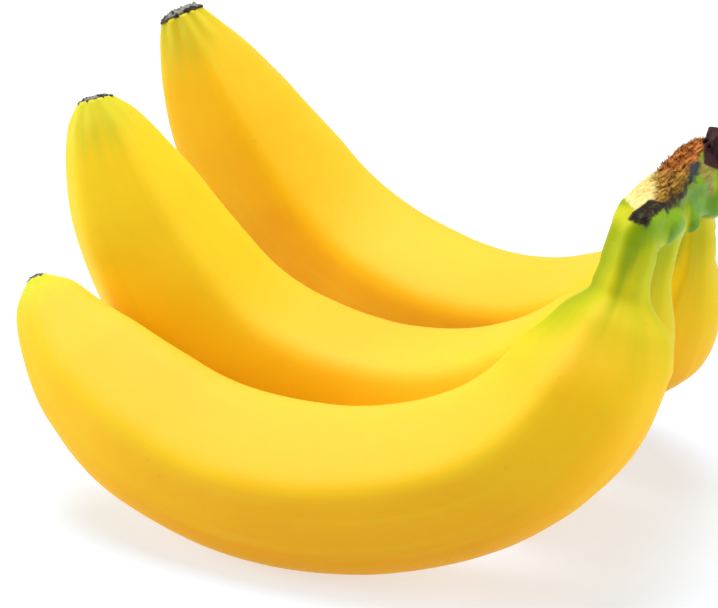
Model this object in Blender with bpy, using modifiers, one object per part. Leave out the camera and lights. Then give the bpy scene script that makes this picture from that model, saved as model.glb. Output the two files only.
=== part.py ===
"""A bunch of three bananas on one crown, lying on its bellies. Metres, +Z up.

Each finger is a closed loft of rounded five-sided sections along a plane curve. It leaves the
crown pointing down, turns along the table and rises again to its blossom end. The crown is a
level plate with a torn top, joined to short neck stubs, two cushions, the stub of a finger that
was taken off and a dried lump at its far end. All directions are in the object's own frame.
"""
import math

import bmesh
import bpy
import numpy as np
from mathutils import Vector

MM = 0.001

# The three fingers, front to back. Root is the middle of the neck where it meets the crown.
# Yaw turns the plane of the curve about +Z and lean tips it over. Bend is the heading of the
# curve at BEND_AT, in degrees above the table. Ridge is the angle of one of the five long
# ridges, from the belly towards the front. Tip is the radius of the blossom end, and slant
# and high_side say how much its end face slants and which side of it reaches further. Neck is
# the length that belongs to the crown. Shoulder is how far the outer side below it bulges.
# Extra is how much thicker than the shared girth the finger is at EXTRA_AT, in millimetres.
EXTRA_AT = (0.0, 0.018, 0.03, 0.045, 0.065, 0.08, 0.095, 0.12, 0.30, 0.60, 0.75, 0.86, 0.93, 1.0)
FRONT_EXTRA = (0.9, 0.9, 1.1, 1.2, 0.8, 0.2, -1.0, 0.0, -0.2, 0.0, -0.35, 0.0, -0.25, 0.0)
NO_EXTRA = (0.0,) * len(EXTRA_AT)
FINGERS = {
    "front": dict(root=(57.8, -62.1, 82.9), yaw=25.2, lean=20.2, length=190.7, girth=0.98,
                  bend=(-86.5, -76, -30.4, 1.6, 27.3, 53), ridge=93, tip=2.4, dried=1.2, neck=8.6,
                  slant=0, high_side=0, shoulder=3.9, extra=FRONT_EXTRA),
    "middle": dict(root=(63.5, -50.9, 76.2), yaw=25.0, lean=-7.6, length=203.0, girth=1.02,
                   bend=(-81, -59, -20.5, 18, 60, 79.5), ridge=147, tip=3.8, dried=1.8, neck=5.0,
                   slant=22, high_side=121, shoulder=0, extra=NO_EXTRA),
    "back": dict(root=(72.2, -30.7, 71.0), yaw=39.8, lean=-20.7, length=214.7, girth=1.03,
                 bend=(-86.5, -47.5, -19.5, 22, 64, 81.5), ridge=147, tip=5.0, dried=2.4, neck=4.5,
                 slant=14, high_side=142, shoulder=0, extra=NO_EXTRA),
}
BEND_AT = (0.0, 0.15, 0.35, 0.60, 0.80, 1.0)

# Radius of a finger along its length, in millimetres, before its girth factor.
GIRTH_AT = (0.0, 0.06, 0.13, 0.20, 0.30, 0.45, 0.60, 0.75, 0.86, 0.93, 0.975)
GIRTH = (4.0, 4.6, 10.9, 16.1, 17.4, 17.9, 18.3, 18.0, 15.3, 11.4, 7.6)
TIP_STEP = 1.5
SLANT_FROM = 0.95
SHOULDER_AT = (0.0, 0.075, 0.1, 0.125, 0.145, 0.165, 0.19, 0.23, 0.27, 0.32, 1.0)
SHOULDER_RISE = (0.0, 0.03, 0.5, 1.0, 0.97, 0.62, 0.32, 0.24, 0.05, 0.0, 0.0)
SHOULDER_TURN = -20.0
SHOULDER_POWER = 3.0
RIDGES = 5
RIDGE_AT = (0.0, 0.10, 0.25, 0.80, 1.0)
RIDGE_RISE = (0.07, 0.06, 0.035, 0.035, 0.06)
BELLY_WORN = 0.75
STATIONS = 46
BUNCHING = 0.35
SIDES = 30
SHARP_ANGLE = 50.0

GAP = 0.3 * MM
CLEARANCE = 0.35
CLEARANCE_TO = 0.25
FLAT_DEPTH = 0.45 * MM
FLOOR_HALF = 200 * MM
FLOOR_THICK = 20 * MM

# The crown runs level from the front finger's neck, towards +X and away from the front.
CROWN_START = (56.1, -61.9)
CROWN_YAW = 62.7
CROWN_TOP = 82.4
PLATE_AT = (-5.6, -4.6, -2.0, 4.0, 12.0, 24.0, 36.0, 45.0, 49.5, 51.0)
PLATE_HALF = (2.0, 3.8, 4.9, 5.2, 5.6, 6.0, 6.2, 6.0, 4.6, 2.4)
PLATE_DEPTH = (4.0, 5.6, 7.0, 8.4, 9.4, 10.2, 11.0, 10.0, 7.6, 4.6)
PLATE_SIDES = 20
PLATE_STEPS = 26
PLATE_SQUARE = 3.4
PLATE_SPREAD = 0.16
PLATE_SEED = 7
TORN_RISE = 0.7
TORN_SPREAD = (-1.0, 0.4)
TORN_LEVEL = 0.7
# The outer edge of the torn top sinks further along, from SINK_AT to full SINK.
SINK_AT = (0.0, 22.0, 36.0, 51.0)
SINK = (0.0, 0.0, 3.0, 3.2)
STUB_RISE = 10.0
STUB_FLARE = 1.14
STUB_OVERLAP = 1.0
STUB_STEPS = 6

# Cushions on the crown's outer side: along, outward, height and three radii.
CUSHIONS = ((8.6, 3.6, 77.2, 6.0, 2.9, 3.9), (36.5, 3.4, 74.6, 7.4, 3.9, 4.6))
NUB_PLACE = (18.0, 5.6, 75.0)
NUB_RADIUS = 2.3
NUB_LENGTH = 5.6
NUB_TURN = (-12.0, 8.0, 0.0)
NUB_EDGE = 0.9
# The dried lump's middle in the crown's own directions, and its sides along X, Y and Z.
LUMP_PLACE = (44.2, 2.7, 83.4)
LUMP_SIZE = (8.2, 7.4, 8.6)
LUMP_TURN = (4.0, -7.0, 5.0)
LUMP_EDGE = 1.1

# Shares of the tip's radius along the dried blossom end, and how far it is crumpled.
BLOSSOM_SHARE = (0.98, 1.04, 1.0, 0.86, 0.6)
BLOSSOM_RIDGE = 0.05
BLOSSOM_OVERRUN = 0.5
CRUMPLE = (0.88, 1.08)

YELLOW = (0.93, 0.62, 0.05, 1.0)
LEAF_GREEN = (0.24, 0.40, 0.05, 1.0)
DRIED_BROWN = (0.07, 0.05, 0.04, 1.0)
PEEL_ROUGH = 0.42
CROWN_ROUGH = 0.6
DRIED_ROUGH = 0.85


def smooth_through(knots, values, at):
    """Monotone cubic curve through the knots, read at one or more places."""
    x = np.asarray(knots, float)
    y = np.asarray(values, float)
    step = np.diff(x)
    slope = np.diff(y) / step
    tangent = np.zeros_like(y)
    tangent[0] = slope[0]
    tangent[-1] = slope[-1]
    for i in range(1, len(x) - 1):
        if slope[i - 1] * slope[i] > 0.0:
            before = 2.0 * step[i] + step[i - 1]
            after = step[i] + 2.0 * step[i - 1]
            tangent[i] = (before + after) / (before / slope[i - 1] + after / slope[i])
    at = np.clip(np.asarray(at, float), x[0], x[-1])
    k = np.clip(np.searchsorted(x, at, side="right") - 1, 0, len(step) - 1)
    u = (at - x[k]) / step[k]
    return (y[k] * (1 + 2 * u) * (1 - u) ** 2 + tangent[k] * step[k] * u * (1 - u) ** 2
            + y[k + 1] * u * u * (3 - 2 * u) + tangent[k + 1] * step[k] * u * u * (u - 1))


def finger_axes(finger):
    """Heading, rising and front-facing directions of the plane that a finger lies in."""
    yaw = math.radians(finger["yaw"])
    lean = math.radians(finger["lean"])
    ahead = np.array([-math.cos(yaw), math.sin(yaw), 0.0])
    side = np.array([math.sin(yaw), math.cos(yaw), 0.0])
    up = np.array([0.0, 0.0, 1.0])
    rise = math.cos(lean) * up + math.sin(lean) * side
    front = math.sin(lean) * up - math.cos(lean) * side
    return ahead, rise, front


def centre_line(finger, steps=240):
    """Points and headings of a finger's plane curve, at equal lengths from the crown."""
    along = np.linspace(0.0, 1.0, steps + 1)
    heading = np.radians(smooth_through(BEND_AT, finger["bend"], along))
    ahead, rise, _ = finger_axes(finger)
    middle = 0.5 * (heading[1:] + heading[:-1])
    step = finger["length"] / steps
    forward = np.concatenate([[0.0], np.cumsum(np.cos(middle))]) * step
    upward = np.concatenate([[0.0], np.cumsum(np.sin(middle))]) * step
    points = np.array(finger["root"]) + forward[:, None] * ahead + upward[:, None] * rise
    return along, points, heading


def sections(finger, places, radii, rises):
    """Five-ridged rings square to the centre line. Places below zero run on above the root."""
    along, points, heading = centre_line(finger)
    ahead, rise, front = finger_axes(finger)
    turn = np.linspace(0.0, 2.0 * math.pi, SIDES, endpoint=False)
    ridge = math.radians(finger["ridge"])
    slope = math.tan(math.radians(finger["slant"]))
    side = np.cos(turn - math.radians(finger["high_side"]))
    kept = 1.0 - BELLY_WORN * np.maximum(np.cos(turn), 0.0) ** 2
    outer = np.maximum(np.cos(turn - math.radians(SHOULDER_TURN)), 0.0) ** SHOULDER_POWER
    rings = []
    for place, radius, amount in zip(places, radii, rises):
        centre = np.array([np.interp(place, along, points[:, i]) for i in range(3)])
        angle = np.interp(place, along, heading)
        tangent = math.cos(angle) * ahead + math.sin(angle) * rise
        belly = math.sin(angle) * ahead - math.cos(angle) * rise
        overrun = min(place, 0.0) + max(place - 1.0, 0.0)
        centre = centre + tangent * overrun * finger["length"]
        ridged = amount * kept * np.cos(RIDGES * (turn - ridge))
        reach = radius * (1.0 + ridged)
        bulge = finger["shoulder"] * float(smooth_through(SHOULDER_AT, SHOULDER_RISE, place))
        reach = reach + bulge * outer
        ring = centre + reach[:, None] * (np.cos(turn)[:, None] * belly
                                          + np.sin(turn)[:, None] * front)
        share = min(max((place - SLANT_FROM) / (1.0 - SLANT_FROM), 0.0), 1.0)
        shear = slope * share * share * reach * side
        ring = ring + shear[:, None] * tangent
        rings.append(ring * MM)
    return rings


def finger_radius(finger, places):
    """Radius of a finger at places along its length, from the neck to the blossom end."""
    girth = np.array(GIRTH + (finger["tip"] / finger["girth"],))
    girth[-2] = max(girth[-2], girth[-1] + TIP_STEP)
    even = smooth_through(GIRTH_AT + (1.0,), girth, places) * finger["girth"]
    return even + smooth_through(EXTRA_AT, finger["extra"], places)


def body_profile(finger):
    """Stations, radii and ridge heights of a finger's body, from its neck to its tip."""
    start = finger["neck"] / finger["length"]
    end = 1.0 - finger["dried"] / finger["length"]
    even = np.linspace(0.0, 1.0, STATIONS)
    bunched = BUNCHING * np.sin(2.0 * math.pi * even) / (2.0 * math.pi)
    places = start + (end - start) * (even - bunched)
    rises = smooth_through(RIDGE_AT, RIDGE_RISE, places)
    return places, finger_radius(finger, places), rises


def settle(finger):
    """Height change that lets a finger's belly reach just under the table."""
    rings = sections(finger, *body_profile(finger))
    lowest = min(ring[:, 2].min() for ring in rings)
    return -FLAT_DEPTH - lowest


def loft(name, rings, collection, drop=0.0):
    """Closed body through the rings, with a fan on each end."""
    mesh = bmesh.new()
    rows = [[mesh.verts.new((p[0], p[1], p[2] + drop)) for p in ring] for ring in rings]
    count = len(rows[0])
    for low, high in zip(rows, rows[1:]):
        for i in range(count):
            j = (i + 1) % count
            mesh.faces.new((low[i], low[j], high[j], high[i]))
    for row in (rows[0], rows[-1]):
        hub = mesh.verts.new(sum((v.co for v in row), Vector()) / count)
        for i in range(count):
            mesh.faces.new((row[i], row[(i + 1) % count], hub))
    bmesh.ops.recalc_face_normals(mesh, faces=mesh.faces)
    data = bpy.data.meshes.new(name)
    mesh.to_mesh(data)
    mesh.free()
    data.shade_smooth()
    data.set_sharp_from_angle(angle=math.radians(SHARP_ANGLE))
    part = bpy.data.objects.new(name, data)
    collection.objects.link(part)
    return part


def coat(part, name, colour, roughness):
    """Give a part its own Principled material."""
    material = bpy.data.materials.new(name)
    material.use_nodes = True
    shader = material.node_tree.nodes["Principled BSDF"]
    shader.inputs["Base Color"].default_value = colour
    shader.inputs["Roughness"].default_value = roughness
    shader.inputs["Metallic"].default_value = 0.0
    part.data.materials.clear()
    part.data.materials.append(material)


def tool(part, collection):
    """Turn an object into a hidden tool for a Boolean."""
    for owner in list(part.users_collection):
        owner.objects.unlink(part)
    collection.objects.link(part)
    part.hide_render = True
    part.display_type = "WIRE"
    return part


def combine(part, other, operation):
    """Add a Boolean modifier with the exact solver."""
    change = part.modifiers.new(operation.lower() + "_" + other.name, "BOOLEAN")
    change.operation = operation
    change.solver = "EXACT"
    change.object = other


def crown_point(along, outward, height):
    """World place of a point given along the crown, out from its middle and in height."""
    yaw = math.radians(CROWN_YAW)
    x = CROWN_START[0] + along * math.cos(yaw) + outward * math.sin(yaw)
    y = CROWN_START[1] + along * math.sin(yaw) - outward * math.cos(yaw)
    return np.array([x, y, height]) * MM


def crown_plate(collection):
    """The level plate: rounded sections, wider low down, with a slightly torn top."""
    chance = np.random.default_rng(PLATE_SEED)
    places = smooth_through(np.linspace(0.0, 1.0, len(PLATE_AT)), PLATE_AT,
                            np.linspace(0.0, 1.0, PLATE_STEPS))
    turn = np.linspace(0.0, 2.0 * math.pi, PLATE_SIDES, endpoint=False)
    power = 2.0 / PLATE_SQUARE
    rings = []
    for place in places:
        half = float(smooth_through(PLATE_AT, PLATE_HALF, place))
        depth = float(smooth_through(PLATE_AT, PLATE_DEPTH, place))
        sink = float(smooth_through(SINK_AT, SINK, place))
        ring = []
        for angle in turn:
            level = math.copysign(abs(math.sin(angle)) ** power, math.sin(angle))
            out = math.copysign(abs(math.cos(angle)) ** power, math.cos(angle))
            spread = 1.0 - PLATE_SPREAD * level
            torn = TORN_RISE * chance.uniform(*TORN_SPREAD) if level > TORN_LEVEL else 0.0
            height = CROWN_TOP - 0.5 * depth * (1.0 - level) + torn
            height -= sink * max(out, 0.0) * max(level, 0.0)
            ring.append(crown_point(place, half * out * spread, height))
        rings.append(np.array(ring))
    return loft("crown", rings, collection)


def neck_stub(key, drop, collection):
    """The crown's own end of a neck, which runs up into the plate and flares."""
    finger = FINGERS[key]
    length = finger["length"]
    start = (finger["neck"] + STUB_OVERLAP) / length
    stop = start - STUB_RISE / length
    places = np.linspace(start, stop, STUB_STEPS)
    radii = finger_radius(finger, places) * np.linspace(1.0, STUB_FLARE, STUB_STEPS)
    rises = np.full(STUB_STEPS, RIDGE_RISE[0])
    return loft("stub_" + key, sections(finger, places, radii, rises), collection, drop)


def neck_clearance(key, drop, collection):
    """A finger's neck and shoulder, larger by the gap, which the crown keeps clear of."""
    finger = FINGERS[key]
    places, radii, rises = body_profile(finger)
    near = places < CLEARANCE_TO
    places = places[near]
    places[0] -= GAP / MM / finger["length"]
    rings = sections(finger, places, radii[near] + CLEARANCE, rises[near])
    return loft("clearance_" + key, rings, collection, drop)


def cushion(index, spec, collection):
    """A rounded swelling on the crown's outer side."""
    along, outward, height, long, thick, tall = spec
    bpy.ops.mesh.primitive_uv_sphere_add(segments=18, ring_count=10, radius=1.0)
    part = bpy.context.object
    part.name = "cushion_%d" % index
    part.location = crown_point(along, outward, height)
    part.rotation_euler = (0.0, 0.0, math.radians(CROWN_YAW))
    part.scale = (long * MM, thick * MM, tall * MM)
    return tool(part, collection)


def nub(collection):
    """The short stub left where another finger was taken off."""
    bpy.ops.mesh.primitive_cylinder_add(vertices=16, radius=NUB_RADIUS * MM, depth=NUB_LENGTH * MM)
    part = bpy.context.object
    part.name = "nub"
    part.location = crown_point(*NUB_PLACE)
    part.rotation_euler = [math.radians(angle) for angle in NUB_TURN]
    edge = part.modifiers.new("rounded_end", "BEVEL")
    edge.width = NUB_EDGE * MM
    edge.segments = 2
    return tool(part, collection)


def dried_lump(collection):
    """The dark dried block that stands up near the crown's far end."""
    bpy.ops.mesh.primitive_cube_add(size=1.0)
    part = bpy.context.object
    part.name = "dried_lump"
    part.scale = [side * MM for side in LUMP_SIZE]
    part.location = crown_point(*LUMP_PLACE)
    part.rotation_euler = [math.radians(angle) for angle in LUMP_TURN]
    bpy.ops.object.transform_apply(location=False, rotation=False, scale=True)
    edge = part.modifiers.new("worn_edges", "BEVEL")
    edge.width = LUMP_EDGE * MM
    edge.segments = 2
    return tool(part, collection)


def blossom_end(key, drop, collection):
    """The dried, crumpled remains of the flower on a finger's tip."""
    finger = FINGERS[key]
    chance = np.random.default_rng(len(key))
    length = finger["length"]
    start = 1.0 - (finger["dried"] - GAP / MM) / length
    rows = len(BLOSSOM_SHARE)
    places = np.linspace(start, 1.0 + BLOSSOM_OVERRUN / length, rows)
    radii = finger["tip"] * np.array(BLOSSOM_SHARE)
    rings = sections(finger, places, radii, np.full(rows, BLOSSOM_RIDGE))
    for ring in rings[1:]:
        middle = ring.mean(axis=0)
        crumple = chance.uniform(*CRUMPLE, len(ring))
        ring[:] = middle + (ring - middle) * crumple[:, None]
    return loft("blossom_end_" + key, rings, collection, drop)


def clear_scene():
    """Remove the objects and collections of the opened file."""
    for item in list(bpy.data.objects):
        bpy.data.objects.remove(item, do_unlink=True)
    for group in list(bpy.data.collections):
        bpy.data.collections.remove(group)


def build():
    """Model the bunch and centre it over the origin."""
    clear_scene()
    parts = bpy.data.collections.new("bunch_of_bananas")
    tools = bpy.data.collections.new("cutters")
    bpy.context.scene.collection.children.link(parts)
    bpy.context.scene.collection.children.link(tools)

    bpy.ops.mesh.primitive_cube_add(size=1.0)
    table = tool(bpy.context.object, tools)
    table.name = "table_cutter"
    table.scale = (2.0 * FLOOR_HALF, 2.0 * FLOOR_HALF, FLOOR_THICK)
    table.location = (0.0, 0.0, -0.5 * FLOOR_THICK)

    crown = crown_plate(parts)
    coat(crown, "crown_green", LEAF_GREEN, CROWN_ROUGH)
    combine(crown, dried_lump(tools), "UNION")
    combine(crown, nub(tools), "UNION")
    for index, spec in enumerate(CUSHIONS):
        combine(crown, cushion(index, spec, tools), "UNION")

    made = [crown]
    for key, finger in FINGERS.items():
        drop = settle(finger)
        body = loft("banana_" + key, sections(finger, *body_profile(finger)), parts, drop)
        coat(body, "peel_" + key, YELLOW, PEEL_ROUGH)
        combine(body, table, "DIFFERENCE")
        dried = blossom_end(key, drop, parts)
        coat(dried, "dried_" + key, DRIED_BROWN, DRIED_ROUGH)
        combine(crown, tool(neck_stub(key, drop, tools), tools), "UNION")
        made += [body, dried]
    for key, finger in FINGERS.items():
        room = tool(neck_clearance(key, settle(finger), tools), tools)
        combine(crown, room, "DIFFERENCE")

    bpy.context.view_layer.update()
    corners = []
    graph = bpy.context.evaluated_depsgraph_get()
    for part in made:
        seen = part.evaluated_get(graph)
        corners += [seen.matrix_world @ Vector(corner) for corner in seen.bound_box]
    low = [min(corner[i] for corner in corners) for i in range(2)]
    high = [max(corner[i] for corner in corners) for i in range(2)]
    anchor = bpy.data.objects.new("bunch", None)
    anchor.location = (-0.5 * (low[0] + high[0]), -0.5 * (low[1] + high[1]), 0.0)
    parts.objects.link(anchor)
    for part in made + list(tools.objects):
        part.parent = anchor
    bpy.context.view_layer.update()


build()
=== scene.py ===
"""Dresses a bunch of three bananas: fine peel surfaces, the fused torn crown and dried tips."""
import math

import bmesh
import bpy
import numpy as np
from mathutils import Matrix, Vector, noise


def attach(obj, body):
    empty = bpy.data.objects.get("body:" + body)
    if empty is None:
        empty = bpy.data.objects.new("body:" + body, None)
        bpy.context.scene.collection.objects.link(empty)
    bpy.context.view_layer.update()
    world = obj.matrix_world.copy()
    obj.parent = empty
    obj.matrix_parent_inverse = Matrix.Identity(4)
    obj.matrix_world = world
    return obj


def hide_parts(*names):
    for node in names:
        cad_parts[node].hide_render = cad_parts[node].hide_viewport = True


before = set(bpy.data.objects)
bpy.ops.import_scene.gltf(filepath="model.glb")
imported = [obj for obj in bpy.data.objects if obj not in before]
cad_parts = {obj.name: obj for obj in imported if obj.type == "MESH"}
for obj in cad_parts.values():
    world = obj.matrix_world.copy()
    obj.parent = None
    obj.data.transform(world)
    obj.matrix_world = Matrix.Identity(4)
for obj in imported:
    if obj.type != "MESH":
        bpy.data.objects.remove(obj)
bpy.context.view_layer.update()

MM = 0.001

# The same named sizes as the solids, in millimetres, with the bunch's shift over its origin.
SHIFT = (-3.805, 5.230)
EXTRA_AT = (0.0, 0.018, 0.03, 0.045, 0.065, 0.08, 0.095, 0.12, 0.30, 0.60, 0.75, 0.86, 0.93, 1.0)
FRONT_EXTRA = (0.9, 0.9, 1.1, 1.2, 0.8, 0.2, -1.0, 0.0, -0.2, 0.0, -0.35, 0.0, -0.25, 0.0)
NO_EXTRA = (0.0,) * len(EXTRA_AT)
FINGERS = {
    "front": dict(root=(57.8, -62.1, 82.9), yaw=25.2, lean=20.2, length=190.7, girth=0.98,
                  bend=(-86.5, -76, -30.4, 1.6, 27.3, 53), ridge=93, tip=2.4, drop=-0.510,
                  slant=0, high_side=0, shoulder=3.9, extra=FRONT_EXTRA, skin_from=0.012),
    "middle": dict(root=(63.5, -50.9, 76.2), yaw=25.0, lean=-7.6, length=203.0, girth=1.02,
                   bend=(-81, -59, -20.5, 18, 60, 79.5), ridge=147, tip=3.8, drop=-0.003,
                   slant=22, high_side=121, shoulder=0, extra=NO_EXTRA, skin_from=-0.01),
    "back": dict(root=(72.2, -30.7, 71.0), yaw=39.8, lean=-20.7, length=214.7, girth=1.03,
                 bend=(-86.5, -47.5, -19.5, 22, 64, 81.5), ridge=147, tip=5.0, drop=-0.185,
                 slant=26, high_side=142, shoulder=0, extra=NO_EXTRA, skin_from=-0.01),
}
BEND_AT = (0.0, 0.15, 0.35, 0.60, 0.80, 1.0)
SLANT_FROM = 0.95
SHOULDER_AT = (0.0, 0.075, 0.1, 0.125, 0.145, 0.165, 0.19, 0.23, 0.27, 0.32, 1.0)
SHOULDER_RISE = (0.0, 0.03, 0.5, 1.0, 0.97, 0.62, 0.32, 0.24, 0.05, 0.0, 0.0)
SHOULDER_TURN = -20.0
SHOULDER_POWER = 3.0
SECTION_POWER = 7.0
SECTION_SWING = 0.12
GIRTH_AT = (0.0, 0.06, 0.13, 0.20, 0.30, 0.45, 0.60, 0.75, 0.86, 0.93, 0.975)
GIRTH = (4.0, 4.6, 10.9, 16.1, 17.4, 17.9, 18.3, 18.0, 15.3, 11.4, 7.6)
GIRTH_BEFORE = (-0.12, 4.6)
TIP_TAPER = 1.5
RIDGE_AT = (-0.1, 0.03, 0.10, 0.25, 0.80, 0.93, 1.0)
RIDGE_RISE = (0.03, 0.07, 0.06, 0.052, 0.050, 0.050, 0.03)
FRONT_RIDGE = 1.25
BELLY_WORN = 0.75
CROWN_START = (56.1, -61.9)
CROWN_YAW = 62.7
UP = np.array([0.0, 0.0, 1.0])

# The skins: rings along a finger and points round it, how deep the first end is tucked in under
# the crown's sleeve, the ribs at the tip, the height of the swelling, the points round a dried
# end, and how far its crumbs rise as a share of the tip's radius.
SKIN_STATIONS = 190
SKIN_SIDES = 100
TUCK = 0.5
TIP_RIBS = 0.045
SWELL_COARSE = 0.30
SWELL_FINE = 0.06
DRIED_SIDES = 72
CREST = {"front": 0.24, "middle": 0.15, "back": 0.30}

# The crown's features, with their places along it, outward and up.
SCAB_AT = (1.1, 3.0, 82.35)
SCAB_HALF = (4.8, 1.7, 1.0)
LUMP_AT = (44.7, 2.7, 81.7)
LUMP_HALF = (4.0, 3.6, 4.2)
LUMP_TURN = 5.0
LUMP_TILT = 10.0
NEAR_CUSHION = ((6.2, 5.1, 77.7), (6.4, 3.0, 3.1))
FAR_CUSHION = ((36.5, 3.4, 74.6), (7.4, 3.9, 4.6))
STUB = ((17.3, 4.2, 77.4), (18.0, 5.5, 75.2))
STUB_RADII = (2.2, 2.35)
# Each neck's sleeve: its flare at the top, how far up it runs, and how softly it joins the plate.
SLEEVES = {"front": (0.0, -0.03, 1.6), "middle": (0.8, 0.0, 3.4), "back": (0.8, 0.0, 3.4)}
# The grid that the crown's skin is drawn from, and the fibres on its torn top. The grid's floor
# leaves the necks' sleeves open below. The front and the middle one end inside their peels, but
# the back one's end shows as a small step on the hidden side.
NET_LOW = (45.0, -66.0, 66.5)
NET_HIGH = (86.0, -3.0, 92.0)
NET_STEP = 0.42
TUFTS = 220
EDGE_TUFTS = 160
# How green each neck is, on its peel and on the crown alike.
NECK_GREEN = {"front": 1.0, "middle": 0.8, "back": 0.5}


def smooth_through(knots, values, at):
    """Monotone cubic curve through the knots."""
    x = np.asarray(knots, float)
    y = np.asarray(values, float)
    step = np.diff(x)
    slope = np.diff(y) / step
    tangent = np.zeros_like(y)
    tangent[0] = slope[0]
    tangent[-1] = slope[-1]
    for i in range(1, len(x) - 1):
        if slope[i - 1] * slope[i] > 0.0:
            before = 2.0 * step[i] + step[i - 1]
            after = step[i] + 2.0 * step[i - 1]
            tangent[i] = (before + after) / (before / slope[i - 1] + after / slope[i])
    at = np.clip(np.asarray(at, float), x[0], x[-1])
    k = np.clip(np.searchsorted(x, at, side="right") - 1, 0, len(step) - 1)
    u = (at - x[k]) / step[k]
    return (y[k] * (1 + 2 * u) * (1 - u) ** 2 + tangent[k] * step[k] * u * (1 - u) ** 2
            + y[k + 1] * u * u * (3 - 2 * u) + tangent[k + 1] * step[k] * u * u * (u - 1))


def smoothstep(low, high, value):
    """Smooth step from 0 at low to 1 at high; it falls where low is the larger."""
    t = np.clip((value - low) / (high - low), 0.0, 1.0)
    return t * t * (3.0 - 2.0 * t)


def finger_axes(finger):
    """A finger's directions: ahead, up in its own plane, and across towards the front."""
    yaw = math.radians(finger["yaw"])
    lean = math.radians(finger["lean"])
    ahead = np.array([-math.cos(yaw), math.sin(yaw), 0.0])
    side = np.array([math.sin(yaw), math.cos(yaw), 0.0])
    rise = math.cos(lean) * UP + math.sin(lean) * side
    front = math.sin(lean) * UP - math.cos(lean) * side
    return ahead, rise, front


def centre_line(finger, places, steps=400):
    """Points, tangents and belly directions in millimetres at places along a finger."""
    along = np.linspace(0.0, 1.0, steps + 1)
    heading = np.radians(smooth_through(BEND_AT, finger["bend"], along))
    ahead, rise, front = finger_axes(finger)
    middle = 0.5 * (heading[1:] + heading[:-1])
    step = finger["length"] / steps
    forward = np.concatenate([[0.0], np.cumsum(np.cos(middle))]) * step
    upward = np.concatenate([[0.0], np.cumsum(np.sin(middle))]) * step
    root = np.array(finger["root"]) + np.array([SHIFT[0], SHIFT[1], finger["drop"]])
    points = root + forward[:, None] * ahead + upward[:, None] * rise
    places = np.asarray(places, float)
    inside = np.clip(places, 0.0, 1.0)
    centre = np.stack([np.interp(inside, along, points[:, i]) for i in range(3)], 1)
    angle = np.interp(inside, along, heading)
    tangent = np.cos(angle)[:, None] * ahead + np.sin(angle)[:, None] * rise
    belly = np.sin(angle)[:, None] * ahead - np.cos(angle)[:, None] * rise
    centre = centre + tangent * ((places - inside) * finger["length"])[:, None]
    return centre, tangent, belly, front


def finger_radius(finger, places):
    """Mean radius at places along a finger."""
    knots = GIRTH_BEFORE[:1] + GIRTH_AT + (1.0,)
    girth = np.array(GIRTH_BEFORE[1:] + GIRTH + (finger["tip"] / finger["girth"],))
    girth[-2] = max(girth[-2], girth[-1] + TIP_TAPER)
    even = smooth_through(knots, girth, places) * finger["girth"]
    return even + smooth_through(EXTRA_AT, finger["extra"], places)


def ridge_wave(turn, finger):
    """Relief of a rounded five-sided section, about -1 to 1, with ridges of unlike strength."""
    chance = np.random.default_rng(int(finger["ridge"]))
    strength = chance.uniform(0.85, 1.05, 5)
    strength[0] = FRONT_RIDGE
    x = turn - math.radians(finger["ridge"])
    total = 0.0
    weight = 0.0
    for i in range(5):
        facet = np.cos(x - math.radians(36.0 + 72.0 * i))
        total = total + np.maximum(facet, 0.0) ** SECTION_POWER
        near = np.exp(-(np.angle(np.exp(1j * (x - math.radians(72.0 * i)))) / 0.6) ** 2)
        weight = weight + near * strength[i]
    reach = total ** (-1.0 / SECTION_POWER)
    wave = 2.0 * (reach - 1.0) / SECTION_SWING - 0.95
    kept = 1.0 - BELLY_WORN * np.maximum(np.cos(turn), 0.0) ** 2
    return np.where(wave > 0.0, wave * weight, wave) * kept


def shoulder_bulge(turn, finger, places):
    """How far the outer side below the neck stands out."""
    outer = np.maximum(np.cos(turn - math.radians(SHOULDER_TURN)), 0.0) ** SHOULDER_POWER
    rise = finger["shoulder"] * smooth_through(SHOULDER_AT, SHOULDER_RISE, places)
    return rise[:, None] * outer[None, :]


def stripe_wave(turn, places, finger):
    """Neck stripes, green with painted shade: below each ridge, swinging round at the crown."""
    x = turn - math.radians(finger["ridge"])
    swing = np.radians(17.0 + 14.0 * smoothstep(0.075, 0.0, places))
    width = 0.27 + 0.25 * smoothstep(0.08, 0.02, places)
    stripe = 0.0
    for i, strength in enumerate((1.0, 0.4, 0.35, 0.3, 0.5)):
        gap = np.angle(np.exp(1j * (x + swing - i * 2.0 * math.pi / 5.0)))
        stripe = stripe + strength * np.exp(-(gap / width) ** 2)
    return np.clip(stripe, 0.0, 1.0)


def grid_mesh(name, rings, attributes):
    """Closed skin through rings of points, with per-vertex values."""
    count, sides = rings.shape[:2]
    verts = rings.reshape(-1, 3)
    i = np.arange(count - 1)[:, None] * sides
    j = np.arange(sides)[None, :]
    k = (j + 1) % sides
    faces = np.stack([i + j, i + k, i + sides + k, i + sides + j], -1).reshape(-1, 4)
    faces = faces.tolist()
    verts = np.vstack([verts, rings[0].mean(0), rings[-1].mean(0)])
    base = count * sides
    for n in range(sides):
        m = (n + 1) % sides
        faces.append([m, n, base])
        faces.append([base - sides + n, base - sides + m, base + 1])
    values = {key: np.append(value.reshape(-1), [value[0].mean(), value[-1].mean()])
              for key, value in attributes.items()}
    return build_mesh(name, verts, faces, values)


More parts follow.
